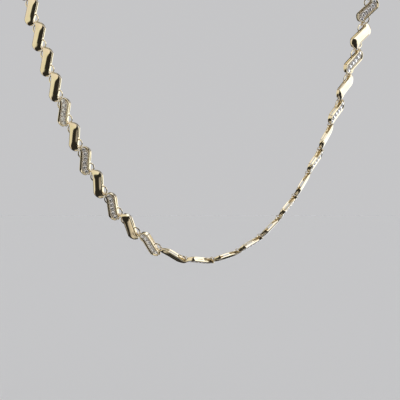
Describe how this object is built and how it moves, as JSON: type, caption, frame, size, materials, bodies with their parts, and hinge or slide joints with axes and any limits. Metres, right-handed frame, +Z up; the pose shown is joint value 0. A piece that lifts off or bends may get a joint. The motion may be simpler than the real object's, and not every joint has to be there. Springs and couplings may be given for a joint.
{
  "type": "flat link chain necklace",
  "caption": "Necklace of flat S-shaped gold links joined by small rings; plain domed links alternate with links set with round stones in a channel. Hangs as worn, closed by a plain clasp.",
  "frame": {"origin": "the middle of the closed loop's stretch at the nape, on the line through the joints", "axes": "+X to the right of a viewer in front of the wearer, -Y the way the wearer faces, +Z up"},
  "size_m": [0.1071, 0.0776, 0.1476],
  "materials": {
    "gold": "pale yellow gold, high polish",
    "stone": "clear colourless cut stone, polished"
  },
  "bodies": {
    "root": {"gold_link_01": "gold", "gold_link_02": "gold", "gold_link_03": "gold", "gold_link_04": "gold", "gold_link_06": "gold", "gold_link_08": "gold", "gold_link_10": "gold", "gold_link_12": "gold", "gold_link_14": "gold", "gold_link_16": "gold", "gold_link_18": "gold", "gold_link_20": "gold", "gold_link_22": "gold", "gold_link_24": "gold", "pave_link_05": "gold", "pave_link_07": "gold", "pave_link_09": "gold", "pave_link_11": "gold", "pave_link_13": "gold", "pave_link_15": "gold", "pave_link_17": "gold", "pave_link_19": "gold", "pave_link_21": "gold", "pave_link_23": "gold", "pave_link_25": "gold", "stones_05": "stone", "stones_07": "stone", "stones_09": "stone", "stones_11": "stone", "stones_13": "stone", "stones_15": "stone", "stones_17": "stone", "stones_19": "stone", "stones_21": "stone", "stones_23": "stone", "stones_25": "stone", "chain_left": "gold", "chain_right": "gold", "clasp": "gold", "end_ring": "gold"}
  },
  "joints": []
}
